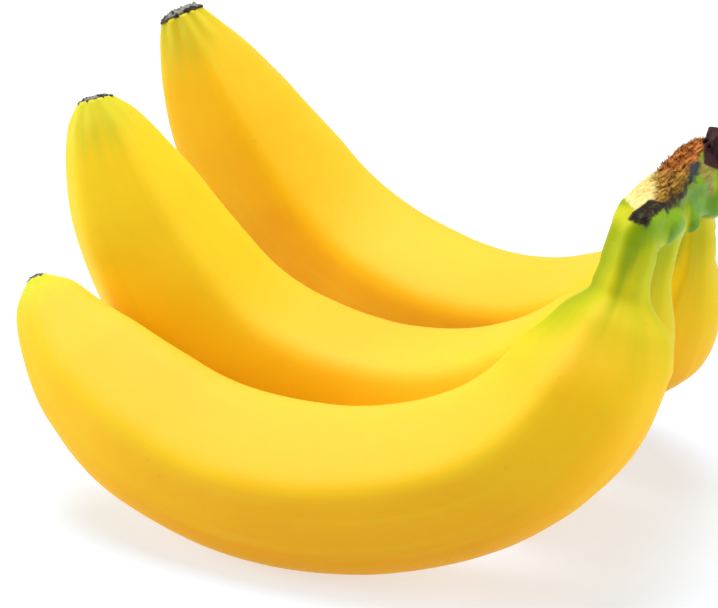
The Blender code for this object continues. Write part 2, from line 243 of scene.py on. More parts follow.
def build_mesh(name, verts, faces, values):
    """A smooth-shaded object from points in millimetres, with values stored at its points."""
    mesh = bpy.data.meshes.new(name)
    mesh.from_pydata((np.asarray(verts) * MM).tolist(), [], faces)
    for key, value in values.items():
        layer = mesh.attributes.new(key, "FLOAT", "POINT")
        layer.data.foreach_set("value", np.asarray(value, np.float32))
    fix = bmesh.new()
    fix.from_mesh(mesh)
    bmesh.ops.recalc_face_normals(fix, faces=fix.faces)
    fix.to_mesh(mesh)
    fix.free()
    mesh.shade_smooth()
    piece = bpy.data.objects.new(name, mesh)
    bpy.context.scene.collection.objects.link(piece)
    return piece


def field(points, scale, seed):
    """Smooth seeded noise at points, about -1 to 1."""
    lift = Vector((seed * 17.3, seed * 5.1, -seed * 9.7))
    out = np.empty(len(points))
    for n, p in enumerate(points):
        out[n] = noise.fractal(Vector(p) * scale + lift, 1.0, 2.0, 2)
    return out


def slant_shift(finger, places, turn, reach):
    """How far the points near a slanted tip run on along the finger."""
    share = np.clip((places - SLANT_FROM) / (1.0 - SLANT_FROM), 0.0, 1.0) ** 2
    side = np.cos(turn - math.radians(finger["high_side"]))
    return math.tan(math.radians(finger["slant"])) * share[:, None] * reach * side[None, :]


def make_finger(key, seed):
    """A finger's skin: rings along its curve, closer together at both ends."""
    finger = FINGERS[key]
    start = finger["skin_from"]
    end = 1.0 - 0.15 / finger["length"]
    even = np.linspace(0.0, 1.0, SKIN_STATIONS)
    places = start + (end - start) * (even - 0.42 * np.sin(2.0 * math.pi * even) / (2.0 * math.pi))
    turn = np.linspace(0.0, 2.0 * math.pi, SKIN_SIDES, endpoint=False)
    centre, tangent, belly, front = centre_line(finger, places)
    radius = finger_radius(finger, places)
    amount = smooth_through(RIDGE_AT, RIDGE_RISE, places)
    shape = 1.0 + amount[:, None] * ridge_wave(turn, finger)[None, :]
    x = turn - math.radians(finger["ridge"])
    # Small ribs gather just below the dried flower.
    rib = smoothstep(0.955, 0.995, places)[:, None] * TIP_RIBS * np.cos(10.0 * x + 0.7)[None, :]
    reach = radius[:, None] * (shape + rib) + shoulder_bulge(turn, finger, places)
    # The skin's first end is tucked under the crown's sleeve.
    reach = reach - TUCK * smoothstep(0.036, 0.020, places)[:, None]
    out = np.cos(turn)[None, :, None] * belly[:, None, :] + np.sin(turn)[None, :, None] * front
    rings = centre[:, None, :] + reach[:, :, None] * out
    rings = rings + slant_shift(finger, places, turn, reach)[:, :, None] * tangent[:, None, :]
    flat = rings.reshape(-1, 3)
    coarse = field(flat, 0.035, seed)
    fine = field(flat, 0.16, seed + 5)
    fade = smoothstep(0.0, 0.12, places) * smoothstep(1.0, 0.9, places)
    swell = (SWELL_COARSE * coarse + SWELL_FINE * fine).reshape(rings.shape[:2]) * fade[:, None]
    rings = rings + swell[:, :, None] * out
    # The belly settles flat where it meets the table.
    rings[:, :, 2] = np.maximum(rings[:, :, 2], 0.0)
    values = {
        "along": np.repeat(places[:, None], SKIN_SIDES, 1),
        "round_x": np.repeat(np.cos(turn)[None, :], SKIN_STATIONS, 0),
        "round_y": np.repeat(np.sin(turn)[None, :], SKIN_STATIONS, 0),
        "ridge": np.repeat((0.5 + 0.5 * np.cos(5.0 * x))[None, :], SKIN_STATIONS, 0),
        "stripe": stripe_wave(turn[None, :], places[:, None], finger),
    }
    return grid_mesh("peel_" + key, rings, values)


def make_dried_end(key, seed):
    """Dried flower remains: a low ragged mound of crumbs on the finger's end."""
    finger = FINGERS[key]
    chance = np.random.default_rng(seed)
    sides = DRIED_SIDES
    start = 1.0 - 0.6 / finger["length"]
    turn = np.linspace(0.0, 2.0 * math.pi, sides, endpoint=False)
    tip = finger["tip"]
    depth = 0.6 + CREST[key] * tip
    outline = np.ones(sides)
    for waves in (3, 5, 8, 13, 21):
        outline += 0.055 * chance.uniform(0.4, 1.0) * np.sin(waves * turn + chance.uniform(0, 6.3))
    crest = np.zeros(sides)
    for waves in (4, 7, 11, 17, 23):
        crest += chance.uniform(0.4, 1.0) * np.sin(waves * turn + chance.uniform(0, 6.3))
    crest = 0.5 + 0.5 * np.clip(crest / 2.2, -1.0, 1.0)
    # Each row: share of the tip radius, share of the depth, share of the ragged crest.
    steps = [(0.80, 0.0, 0.0), (0.99, 0.05, 0.0), (1.03, 0.18, 0.1), (1.0, 0.32, 0.5),
             (0.93, 0.46, 1.3), (0.82, 0.54, 0.7), (0.72, 0.74, 1.6), (0.58, 0.74, 0.8),
             (0.46, 0.92, 1.7), (0.33, 0.86, 0.8), (0.20, 0.96, 1.4), (0.07, 0.86, 0.6)]
    centre, tangent, belly, front = centre_line(finger, [start])
    out = np.cos(turn)[:, None] * belly[0] + np.sin(turn)[:, None] * front
    rings = np.empty((len(steps), sides, 3))
    high = np.empty((len(steps), sides))
    for n, (share, deep, rough) in enumerate(steps):
        jitter = chance.uniform(-1.0, 1.0, sides) * 0.035 * tip * min(1.0, share)
        reach = tip * share * (1.0 + (outline - 1.0) * min(1.0, share * 1.2)) + jitter
        crumbs = np.roll(crest, int(chance.integers(0, sides)))
        level = depth * (deep + 0.24 * rough * crumbs) + chance.uniform(-0.1, 0.1, sides) * rough
        level = np.minimum(level, depth + 0.2 * tip * crest)
        level = level + slant_shift(finger, np.array([1.0]), turn, reach[None, :])[0]
        rings[n] = centre[0] + reach[:, None] * out + level[:, None] * tangent[0]
        high[n] = deep + 0.24 * rough * crumbs
    return grid_mesh("dried_flower_" + key, rings, {"high": high})


def crown_axes():
    """The crown's origin and its directions along and outward."""
    yaw = math.radians(CROWN_YAW)
    origin = np.array([CROWN_START[0] + SHIFT[0], CROWN_START[1] + SHIFT[1], 0.0])
    along = np.array([math.cos(yaw), math.sin(yaw), 0.0])
    outward = np.array([math.sin(yaw), -math.cos(yaw), 0.0])
    return origin, along, outward


def crown_point(place):
    """Where a place on the crown, along it, outward and up, lies in the room."""
    origin, along, outward = crown_axes()
    return origin + along * place[0] + outward * place[1] + UP * place[2]


def soft_min(a, b, blend):
    """Smaller of two distances, with a fillet between the two shapes."""
    h = np.clip(0.5 + 0.5 * (b - a) / blend, 0.0, 1.0)
    return b * (1.0 - h) + a * h - blend * h * (1.0 - h)


def soft_max(a, b, blend):
    """Larger of two distances, with a rounded edge where one shape cuts the other."""
    return -soft_min(-a, -b, blend)


def cone_distance(p, a, b, ra, rb):
    """Distance to a round stick whose radius goes from ra to rb."""
    axis = b - a
    t = np.clip(((p - a) @ axis) / (axis @ axis), 0.0, 1.0)
    near = a + t[:, None] * axis
    return np.linalg.norm(p - near, axis=1) - (ra + (rb - ra) * t)


def box_distance(p, centre, axes, half, edge):
    """Distance to a block with rounded edges."""
    q = np.abs((p - centre) @ np.asarray(axes).T) - (np.asarray(half) - edge)
    return np.linalg.norm(np.maximum(q, 0.0), axis=1) + np.minimum(q.max(1), 0.0) - edge


def ball_distance(p, centre, axes, radii):
    """Rough distance to an egg shape with its own radius in each direction."""
    q = (p - centre) @ np.asarray(axes).T / np.asarray(radii)
    length = np.linalg.norm(q, axis=1)
    return (length - 1.0) * min(radii)


def crown_frame(p):
    """Along, outward and height of points in the crown's own directions."""
    origin, along, outward = crown_axes()
    q = p - origin
    return q @ along, q @ outward, p[:, 2]


def grain(p, seed, freq, stretch):
    """Cheap smooth noise from a few seeded waves, stretched along the crown."""
    w, n, z = crown_frame(p)
    chance = np.random.default_rng(seed)
    total = np.zeros(len(p))
    weight = 1.0
    norm = 0.0
    for octave in range(4):
        for _ in range(5):
            k = chance.normal(size=3)
            k /= np.linalg.norm(k)
            k *= freq * (2.0 ** octave)
            phase = chance.uniform(0.0, 2.0 * math.pi)
            total += weight * np.sin(k[0] * w / stretch + k[1] * n + k[2] * z + phase)
        norm += weight * 5 ** 0.5
        weight *= 0.55
    return total / norm


def neck_place(p, finger, low=0.075, high=-0.03, cuts=10):
    """Nearest place, direction round it and distance of points from a neck's centre line."""
    places = np.linspace(low, high, cuts)
    centre, _, belly, front = centre_line(finger, places)
    best = np.full(len(p), 1e9)
    place = np.zeros(len(p))
    turn = np.zeros(len(p))
    for n in range(cuts - 1):
        axis = centre[n + 1] - centre[n]
        t = np.clip(((p - centre[n]) @ axis) / (axis @ axis), 0.0, 1.0)
        q = p - centre[n] - t[:, None] * axis
        far = np.linalg.norm(q, axis=1)
        near = far < best
        best = np.where(near, far, best)
        place = np.where(near, places[n] + t * (places[n + 1] - places[n]), place)
        turn = np.where(near, np.arctan2(q @ front, q @ belly[n]), turn)
    return place, turn, best


def sleeve_distance(p, finger, flare, high):
    """Distance to a neck's sleeve, which dives under the finger's skin at its lower end."""
    place, turn, far = neck_place(p, finger, high=high)
    grow = np.interp(place, (-0.03, 0.0, 0.022, 0.036, 0.055), (flare, 0.1, 0.15, 0.0, -0.6))
    amount = smooth_through(RIDGE_AT, RIDGE_RISE, place)
    return far - finger_radius(finger, place) * (1.0 + amount * ridge_wave(turn, finger)) - grow


def cut_height(w, n):
    """Height of the torn top along the crown; its outer edge sinks further along."""
    top = np.interp(w, (-8, -3, 0, 6, 12, 20, 27, 33, 40, 46, 52),
                    (82.0, 82.5, 82.8, 83.0, 82.7, 82.5, 82.8, 83.4, 83.6, 83.0, 82.4))
    inner = 0.10 * np.maximum(-n, 0.0) * smoothstep(4.0, 14.0, w)
    edge = np.interp(w, (0, 18, 24, 36, 51), (4.6, 4.4, 2.6, 0.2, -0.6))
    slope = np.interp(w, (0, 4, 12, 18, 30, 51), (0.5, 0.9, 0.9, 0.4, 0.75, 0.8))
    return top + inner - slope * np.maximum(n - edge, 0.0)


def lump_axes():
    """Directions of the dried lump's sides: nearly the room's own, a little turned."""
    turn = math.radians(LUMP_TURN)
    tilt = math.radians(LUMP_TILT)
    flat = math.cos(tilt)
    x = np.array([math.cos(turn) * flat, math.sin(turn) * flat, -math.sin(tilt)])
    y = np.array([-math.sin(turn), math.cos(turn), 0.0])
    return np.stack([x, y, np.cross(x, y)])


def scab_distance(p):
    """Distance to the dried scab that wraps the near outer rim of the cut."""
    _, along, outward = crown_axes()
    w, n, _ = crown_frame(p)
    box = box_distance(p, crown_point(SCAB_AT), np.stack([along, outward, UP]), SCAB_HALF, 0.3)
    rim = np.hypot(np.minimum(w - 0.6, 0.0), n - 1.6) - 5.5
    return np.maximum(box, rim) - 0.28 * grain(p, 6, 1.5, 1.0) - 0.12 * grain(p, 16, 4.5, 1.0)


def lump_distance(p):
    """Distance to the dark dried block that stands up further along the crown."""
    box = box_distance(p, crown_point(LUMP_AT), lump_axes(), LUMP_HALF, 0.5)
    return box - 0.6 * grain(p, 7, 1.1, 1.0) - 0.15 * grain(p, 17, 4.0, 1.0)


def crown_field(p):
    """Signed distance to the crown, negative inside."""
    origin, along, outward = crown_axes()
    axes = np.stack([along, outward, UP])
    w, n, z = crown_frame(p)
    # The plate: narrower at its torn top, wider and rounded low down.
    half = np.interp(w, (-8, 0, 12, 24, 36, 46, 52), (4.0, 4.4, 4.6, 4.9, 5.2, 5.0, 4.0))
    half = half + np.interp(z, (72.0, 76.0, 80.0, 84.0), (1.3, 1.2, 0.3, -0.2))
    low = np.interp(w, (-6, 4, 12, 24, 36, 45, 51), (77.5, 75.0, 73.6, 72.6, 72.0, 73.2, 76.0))
    q = np.stack([np.abs(w - 23.0) - 27.0, np.abs(n) - half,
                  np.abs(z - 0.5 * (low + 86.0)) - 0.5 * (86.0 - low)], 1) + 3.6
    body = np.linalg.norm(np.maximum(q, 0.0), axis=1) + np.minimum(q.max(1), 0.0) - 3.6
    body = soft_max(body, origin[0] - 3.1 - p[:, 0], 1.6)
    corner = np.hypot(np.minimum(w - 0.6, 0.0), np.maximum(n - 1.6, 0.0)) - 3.7
    body = soft_max(body, corner, 0.8)
    # Necks of the fingers run up into the plate as sleeves.
    for key, (flare, high, blend) in SLEEVES.items():
        body = soft_min(body, sleeve_distance(p, FINGERS[key], flare, high), blend)
    # Cushions, the stub of a finger that was taken off, and the far shoulder.
    for (centre, radii), blend in ((NEAR_CUSHION, 2.2), (FAR_CUSHION, 1.2)):
        body = soft_min(body, ball_distance(p, crown_point(centre), axes, radii), blend)
    stub = cone_distance(p, crown_point(STUB[0]), crown_point(STUB[1]), *STUB_RADII)
    body = soft_min(body, stub, 0.6)
    # The torn top, rough along the grain.
    rough = 0.2 + 0.8 * smoothstep(6.0, 14.0, w)
    tear = (0.8 * grain(p, 3, 0.9, 1.8) + 0.7 * np.abs(grain(p, 4, 1.9, 2.5))
            + 0.35 * grain(p, 8, 4.2, 3.0)) * rough
    tear = tear * smoothstep(5.2, 3.8, n - np.interp(w, (18, 24, 36), (0.0, -1.6, -4.0)))
    ragged = smoothstep(-1.0, -3.5, n) * smoothstep(10.0, 16.0, w)
    tear = tear + ragged * (0.9 * np.abs(grain(p, 9, 2.4, 0.8)) - 0.3)
    body = soft_max(body, z - cut_height(w, n) - tear, 0.5 + 1.3 * smoothstep(3.0, -2.0, w))
    body = soft_min(body, scab_distance(p), 0.3)
    return soft_min(body, lump_distance(p), 0.4)


def surface_nets(low, high, step, function):
    """Quad surface of a distance field, moved onto its zero; open where it leaves the grid."""
    low = np.asarray(low, float)
    count = np.ceil((np.asarray(high) - low) / step).astype(int) + 1
    grids = [low[i] + step * np.arange(count[i]) for i in range(3)]
    mesh = np.stack(np.meshgrid(*grids, indexing="ij"), -1).reshape(-1, 3)
    value = np.concatenate([function(part) for part in np.array_split(mesh, 24)]).reshape(count)
    inside = value < 0.0
    cells = count - 1
    total = np.zeros(tuple(cells) + (3,))
    hits = np.zeros(tuple(cells))
    corner = [(i, j, k) for i in (0, 1) for j in (0, 1) for k in (0, 1)]

    def at(array, c):
        return array[c[0]:c[0] + cells[0], c[1]:c[1] + cells[1], c[2]:c[2] + cells[2]]

    for c in corner:
        for axis in range(3):
            if c[axis]:
                continue
            d = list(c)
            d[axis] = 1
            va, vb = at(value, c), at(value, tuple(d))
            cross = at(inside, c) != at(inside, tuple(d))
            t = np.where(cross, va / np.where(cross, va - vb, 1.0), 0.0)
            spot = np.zeros(tuple(cells) + (3,))
            for m in range(3):
                spot[..., m] = c[m]
            spot[..., axis] += t
            total += spot * cross[..., None]
            hits += cross
    live = hits > 0
    index = -np.ones(tuple(cells), int)
    index[live] = np.arange(live.sum())
    cell = np.stack(np.nonzero(live), 1)
    verts = low + step * (cell + total[live] / hits[live][:, None])
    faces = []
    for axis in range(3):
        u, v = (axis + 1) % 3, (axis + 2) % 3
        shape = [count[0], count[1], count[2]]
        a = [slice(None)] * 3
        b = [slice(None)] * 3
        a[axis] = slice(0, shape[axis] - 1)
        b[axis] = slice(1, shape[axis])
        for other in (u, v):
            a[other] = b[other] = slice(1, shape[other] - 1)
        first, second = inside[tuple(a)], inside[tuple(b)]
        for sign in (True, False):
            spot = np.stack(np.nonzero((first == sign) & (second == (not sign))), 1)
            offset = np.ones(3, int)
            offset[axis] = 0
            spot = spot + offset
            quads = []
            for du, dv in ((-1, -1), (0, -1), (0, 0), (-1, 0)):
                c = spot.copy()
                c[:, u] += du
                c[:, v] += dv
                quads.append(index[c[:, 0], c[:, 1], c[:, 2]])
            quads = np.stack(quads, 1)
            if not sign:
                quads = quads[:, ::-1]
            faces.append(quads)
    faces = np.vstack(faces)
    for _ in range(2):
        delta = 0.02
        here = function(verts)
        slope = np.stack([(function(verts + delta * np.eye(3)[i]) - here) / delta
                          for i in range(3)], 1)
        size = np.maximum((slope ** 2).sum(1), 0.3)
        move = np.clip(-here / size, -0.5 * step, 0.5 * step)
        verts = verts + move[:, None] * slope
    return verts, faces


def make_crown():
    """The crown's skin, with masks and places for its material stored at the points."""
    verts, faces = surface_nets(NET_LOW, NET_HIGH, NET_STEP, crown_field)
    w, n, z = crown_frame(verts)
    edge = grain(verts, 12, 1.1, 1.0)
    fine = grain(verts, 14, 3.2, 2.0)
    # The cut: near the torn top and inside its rim, which is narrower further along.
    depth = cut_height(w, n) - z
    rim = np.interp(w, (-4, 6, 12, 16, 21, 26, 36, 51), (3.9, 4.7, 4.8, 4.7, 3.7, 2.4, 0.5, 0.0))
    near = w + 1.113 * n + 0.4 * edge
    cut = smoothstep(1.5, 0.7, depth + 0.4 * edge) * smoothstep(0.0, 0.9, near)
    cut *= smoothstep(0.5, -0.3, n - rim - 0.5 * edge)
    inner = smoothstep(1.9, 1.0, depth + 0.5 * edge) * smoothstep(-3.2, -4.2, n)
    cut = np.maximum(cut, inner * smoothstep(4, 8, w))
    # Dark parts: the scab, a thin dried line on the rim, a patch before the lump, the lump.
    scab = smoothstep(0.7, 0.3, scab_distance(verts))
    wide = np.interp(w, (5.0, 9.0, 20.0, 30.0), (1.5, 0.7, 0.45, 0.6))
    line = smoothstep(1.0, 0.4, np.abs(n - rim - 0.1 + 0.3 * edge) / wide) * smoothstep(4.5, 5.5, w)
    line *= smoothstep(34.0, 31.0, w) * smoothstep(1.8, 0.8, depth) * 0.9
    across = 0.287 * (w - 28.0) + 0.958 * (n - 2.3)
    patch = np.hypot((0.958 * (w - 28.0) - 0.287 * (n - 2.3)) / 6.5, across / 1.45)
    patch = smoothstep(1.0, 0.3, patch + 0.35 * edge)
    patch *= smoothstep(2.5, 1.5, depth)
    lump = smoothstep(0.6, 0.2, lump_distance(verts))
    foot = smoothstep(38.2, 39.2, w + 2.49 * n + 0.103 * (z - 82.5) + 0.4 * edge)
    foot *= smoothstep(0.5, -0.3, n - 1.9 - 0.71 * (w - 33.9)) * smoothstep(33.0, 34.0, w)
    lump = np.maximum(lump, foot * smoothstep(2.2, 1.2, depth + 0.3 * edge))
    tan = smoothstep(0.7, 0.1, np.abs(n - rim - 2.2) - 1.2 + 0.5 * edge)
    tan = tan * smoothstep(27.0, 29.5, w) * smoothstep(40.0, 37.0, w) * smoothstep(3.6, 2.4, depth)
    values = {"w": w, "n": n, "z": z, "cut": cut,
              "dark": np.clip(scab + lump + line + patch, 0, 1),
              "brown": smoothstep(8.0, 14.5, w + 2.5 * n + 2.6 * fine + edge),
              # Painted shade: the cut darkens towards its rim's dried line.
              "deep": smoothstep(3.0, 0.3, rim - n + 0.5 * fine) * smoothstep(26.0, 20.0, w),
              "lump": lump, "patch": np.clip(patch - lump, 0, 1),
              "rust": smoothstep(21.0, 32.0, w - 0.8 * n + 2.0 * edge), "tan": tan}
    # What the skin takes from the nearest neck.
    nearest = np.full(len(verts), 1e9)
    shared = {key: np.zeros(len(verts))
              for key in ("along", "round_x", "round_y", "stripe", "green")}
    for key, finger in FINGERS.items():
        place, turn, far = neck_place(verts, finger)
        far = far - finger_radius(finger, place)
        closer = far < nearest
        nearest = np.where(closer, far, nearest)
        found = {"along": place, "round_x": np.cos(turn), "round_y": np.sin(turn),
                 "stripe": stripe_wave(turn, place, finger),
                 "green": np.full(len(verts), NECK_GREEN[key])}
        for name in shared:
            shared[name] = np.where(closer, found[name], shared[name])
    values.update(shared)
    values["plate"] = smoothstep(0.7, 2.2, nearest)
    verts, faces, values = add_tufts(verts, faces.tolist(), values)
    return build_mesh("crown_skin", verts, faces, values)


def add_tufts(verts, faces, values):
    """Short stiff fibres that stand out of the torn top, most of them along its far edge."""
    chance = np.random.default_rng(41)
    _, along, outward = crown_axes()
    score = values["cut"] * values["brown"] * (1.0 - values["dark"])
    spots = np.flatnonzero(score > 0.5)
    edge = spots[values["n"][spots] < -2.5]
    chosen = np.concatenate([chance.choice(spots, TUFTS, replace=False),
                             chance.choice(edge, EDGE_TUFTS, replace=False)])
    new = []
    base = len(verts)
    for spot in chosen:
        lean = along * chance.uniform(-0.3, 1.2) + outward * chance.uniform(-0.8, 0.5)
        way = lean + np.array([0.0, 0.0, chance.uniform(0.2, 0.9)])
        way /= np.linalg.norm(way)
        side = np.cross(way, outward)
        side /= np.linalg.norm(side)
        other = np.cross(way, side)
        thick = chance.uniform(0.10, 0.22)
        foot = verts[spot] - 0.25 * way
        for n in range(4):
            angle = 0.5 * math.pi * n
            new.append(foot + thick * (math.cos(angle) * side + math.sin(angle) * other))
        new.append(foot + way * chance.uniform(0.6, 1.5))
        for n in range(4):
            faces.append([base + n, base + (n + 1) % 4, base + 4])
        faces.append([base + 3, base + 2, base + 1, base])
        base += 5
    rows = np.repeat(chosen, 5)
    values = {key: np.concatenate([value, value[rows]]) for key, value in values.items()}
    return np.vstack([verts, new]), faces, values


class Graph:
    """Small helper for node materials."""

    def __init__(self, name):
        self.material = bpy.data.materials.new(name)
        self.material.use_nodes = True
        self.tree = self.material.node_tree
        self.shader = self.tree.nodes["Principled BSDF"]
        self.coords = self.tree.nodes.new("ShaderNodeTexCoord").outputs["Object"]

    def link(self, source, target):
        if isinstance(source, (int, float, tuple)):
            target.default_value = source
        else:
            self.tree.links.new(source, target)

    def attribute(self, name):
        node = self.tree.nodes.new("ShaderNodeAttribute")
        node.attribute_name = name
        return node.outputs["Fac"]

    def math(self, kind, a, b=0.0, clamp=False):
        node = self.tree.nodes.new("ShaderNodeMath")
        node.operation = kind
        node.use_clamp = clamp
        self.link(a, node.inputs[0])
        self.link(b, node.inputs[1])
        return node.outputs[0]

    def times(self, a, b):
        return self.math("MULTIPLY", a, b)

    def ramp(self, value, low, high, to_low=0.0, to_high=1.0):
        node = self.tree.nodes.new("ShaderNodeMapRange")
        node.interpolation_type = "SMOOTHSTEP"
        self.link(value, node.inputs["Value"])
        node.inputs["From Min"].default_value = low
        node.inputs["From Max"].default_value = high
        node.inputs["To Min"].default_value = to_low
        node.inputs["To Max"].default_value = to_high
        return node.outputs["Result"]

    def mix(self, fac, a, b):
        node = self.tree.nodes.new("ShaderNodeMix")
        node.data_type = "RGBA"
        self.link(fac, node.inputs[0])
        self.link(a, node.inputs[6])
        self.link(b, node.inputs[7])
        return node.outputs[2]

    def vector(self, x, y, z):
        node = self.tree.nodes.new("ShaderNodeCombineXYZ")
        for part, target in zip((x, y, z), node.inputs):
            self.link(part, target)
        return node.outputs[0]

    def noise(self, scale, detail=3.0, vector=None, roughness=0.55):
        node = self.tree.nodes.new("ShaderNodeTexNoise")
        self.link(vector if vector is not None else self.coords, node.inputs["Vector"])
        node.inputs["Scale"].default_value = scale
        node.inputs["Detail"].default_value = detail
        node.inputs["Roughness"].default_value = roughness
        return node.outputs["Fac"]

    def voronoi(self, scale):
        node = self.tree.nodes.new("ShaderNodeTexVoronoi")
        self.link(self.coords, node.inputs["Vector"])
        node.inputs["Scale"].default_value = scale
        return node.outputs["Distance"]

    def bump(self, height, distance, strength):
        node = self.tree.nodes.new("ShaderNodeBump")
        node.inputs["Strength"].default_value = strength
        node.inputs["Distance"].default_value = distance
        self.link(height, node.inputs["Height"])
        return node.outputs["Normal"]


def srgb(r, g, b):
    """Linear colour from 0-255 display values."""
    def one(c):
        c = c / 255.0
        return c / 12.92 if c <= 0.04045 else ((c + 0.055) / 1.055) ** 2.4
    return (one(r), one(g), one(b), 1.0)


PEEL_DEEP = srgb(252, 196, 8)
PEEL_LIGHT = srgb(253, 203, 16)
# The next colour is a painted highlight along the peel's ridges.
PEEL_RIDGE_HIGHLIGHT = srgb(252, 212, 50)
# The next colour is painted shade for the fingers lying behind the front one.
PEEL_PAINTED_SHADE_WARM = srgb(250, 186, 8)
# The next colour is a painted highlight for the peel's sides that face up.
PEEL_PAINTED_HIGHLIGHT = srgb(253, 201, 66)
PEEL_BRIGHT = srgb(255, 216, 30)
PEEL_STREAK = srgb(240, 204, 30)
PEEL_FLECK = srgb(170, 124, 40)
TIP_GREEN = srgb(206, 208, 48)
NECK_YELLOW = srgb(208, 200, 14)
NECK_LEAF = srgb(166, 184, 14)
NECK_INNER = srgb(162, 168, 8)
NECK_STRIPE_GREEN_AND_SHADE = srgb(124, 152, 6)
CROWN_YELLOW = srgb(252, 196, 10)
LEAF_DARK = srgb(94, 136, 12)
LEAF_LIGHT = srgb(124, 164, 30)
RIM_YELLOW = srgb(204, 202, 34)
SCURF = srgb(126, 144, 66)
TAN_LIGHT = srgb(160, 142, 80)
TAN_DARK = srgb(124, 114, 50)
CREAM_LIGHT = srgb(246, 232, 156)
CREAM_DARK = srgb(230, 198, 104)
GOLD = srgb(196, 146, 62)
GOLD_DARK = srgb(104, 70, 16)
RUST = srgb(214, 132, 62)
RUST_DARK = srgb(112, 52, 20)
OLIVE_BROWN_SHADE = srgb(80, 64, 16)
PIT = srgb(56, 32, 14)
SCAB_DARK = srgb(40, 34, 26)
SCAB_LIGHT = srgb(96, 84, 56)
LUMP_BROWN = srgb(62, 38, 38)
PATCH_GREY = srgb(58, 64, 70)
FLOWER_DARK = srgb(58, 50, 40)
FLOWER_LIGHT = srgb(128, 118, 104)
FLOWER_CREST_HIGHLIGHT = srgb(170, 164, 154)
FLOWER_PIT = srgb(34, 28, 24)

# Each peel: how green its tip is, how much warm painted shade it takes all over, how bright
# towards the tip, and the amber painted shade of its sides that face down.
PEELS = {
    "front": dict(green_tip=0.9, painted_shade_warmth=0.0, bright=0.0, below=srgb(224, 146, 1)),
    "middle": dict(green_tip=0.7, painted_shade_warmth=0.08, bright=0.7, below=srgb(222, 144, 1)),
    "back": dict(green_tip=0.65, painted_shade_warmth=0.2, bright=0.05, below=srgb(204, 120, 0)),
}


def peel_streaks(g):
    """Fine fibres and broad streaks that run along a finger."""
    rx = g.attribute("round_x")
    ry = g.attribute("round_y")
    place = g.vector(g.times(rx, 4.0), g.times(ry, 4.0), g.times(g.attribute("along"), 2.2))
    return g.noise(5.0, 4.0, place), g.noise(1.6, 3.0, place)


def neck_colour(g, body, streak, amount):
    """Yellow to yellow-green to leaf green towards the crown; stripes are green with painted shade.
    """
    along = g.attribute("along")
    stripe = g.attribute("stripe")
    border = g.math("ADD", along, g.times(g.math("SUBTRACT", streak, 0.5), 0.05))
    # The green runs further down on the inner side of the curve.
    inner = g.math("MAXIMUM", g.times(g.attribute("round_x"), -1.0), 0.0)
    border = g.math("SUBTRACT", border, g.times(inner, 0.075))
    neck = g.times(g.ramp(border, 0.19, 0.07), amount)
    body = g.mix(neck, body, NECK_YELLOW)
    green = g.times(g.ramp(border, 0.10, 0.0, 0.0, 0.85), amount)
    body = g.mix(green, body, NECK_LEAF)
    shade = g.ramp(along, 0.19, 0.10, 0.0, 0.75)
    shade = g.times(g.times(inner, amount), shade)
    body = g.mix(shade, body, NECK_INNER)
    # The stripes: the neck's own darker green with painted shade of the valley below each ridge.
    reach = g.math("ADD", border, g.times(stripe, -0.06))
    dark = g.times(g.ramp(reach, 0.08, -0.04), g.ramp(stripe, 0.0, 1.0))
    dark = g.times(dark, g.times(amount, 0.85))
    return g.mix(dark, body, NECK_STRIPE_GREEN_AND_SHADE)


def peel_material(key, green_neck, green_tip, painted_shade_warmth, bright, below):
    """Banana peel: yellow with fibres and streaks, green at both ends, painted amber shade below.
    """
    g = Graph("peel_" + key)
    along = g.attribute("along")
    ridge = g.attribute("ridge")
    fibre, streak = peel_streaks(g)
    cloud = g.noise(26.0, 3.0)
    body = g.mix(g.ramp(cloud, 0.3, 0.7), PEEL_DEEP, PEEL_LIGHT)
    # A painted highlight in paler yellow along the ridges.
    body = g.mix(g.ramp(ridge, 0.6, 1.0, 0.0, 0.15), body, PEEL_RIDGE_HIGHLIGHT)
    # Painted shade: the fingers behind the front one are warmer all over and more amber below.
    body = g.mix(painted_shade_warmth, body, PEEL_PAINTED_SHADE_WARM)
    # Painted highlight, paler, on the sides that face up; painted amber shade on those that face
    # down.
    facing = g.tree.nodes.new("ShaderNodeSeparateXYZ")
    g.link(g.tree.nodes.new("ShaderNodeNewGeometry").outputs["Normal"], facing.inputs[0])
    body = g.mix(g.ramp(facing.outputs[2], 0.3, 0.9, 0.0, 0.8), body, PEEL_PAINTED_HIGHLIGHT)
    amber = g.times(g.ramp(facing.outputs[2], 0.35, -0.45, 0.0, 0.8 + painted_shade_warmth),
                    g.ramp(along, 0.12, 0.38, 0.25, 1.0))
    amber = g.times(amber, g.ramp(along, 0.92, 0.64, 0.3, 1.0))
    body = g.mix(amber, body, below)
    body = g.mix(g.ramp(along, 0.5, 0.8, 0.0, bright), body, PEEL_BRIGHT)
    streaks = g.ramp(streak, 0.45, 0.75, 0.0, 0.25)
    body = g.mix(streaks, body, PEEL_STREAK)
    # Greener towards the neck and the tip, with an uneven border.
    border = g.math("ADD", along, g.times(g.math("SUBTRACT", streak, 0.5), 0.05))
    body = neck_colour(g, body, streak, green_neck)
    tip = g.times(g.ramp(border, 0.93, 0.995), green_tip)
    body = g.mix(tip, body, TIP_GREEN)
    # A few small brown flecks.
    fleck = g.voronoi(210.0)
    sparse = g.ramp(g.noise(60.0, 1.0), 0.60, 0.68)
    flecks = g.times(g.ramp(fleck, 0.16, 0.08), sparse)
    body = g.mix(g.times(flecks, 0.12), body, PEEL_FLECK)
    g.link(body, g.shader.inputs["Base Color"])
    g.link(g.ramp(fibre, 0.3, 0.7, 0.56, 0.68), g.shader.inputs["Roughness"])
    s = g.shader.inputs
    s["Specular IOR Level"].default_value = 0.18
    s["Subsurface Weight"].default_value = 0.18
    s["Subsurface Radius"].default_value = (1.0, 0.45, 0.06)
    s["Subsurface Scale"].default_value = 0.004
    pores = g.noise(900.0, 2.0)
    height = g.math("ADD", g.times(fibre, 0.25), g.times(pores, 0.25))
    g.link(g.bump(height, 0.0003, 0.25), s["Normal"])
    return g.material


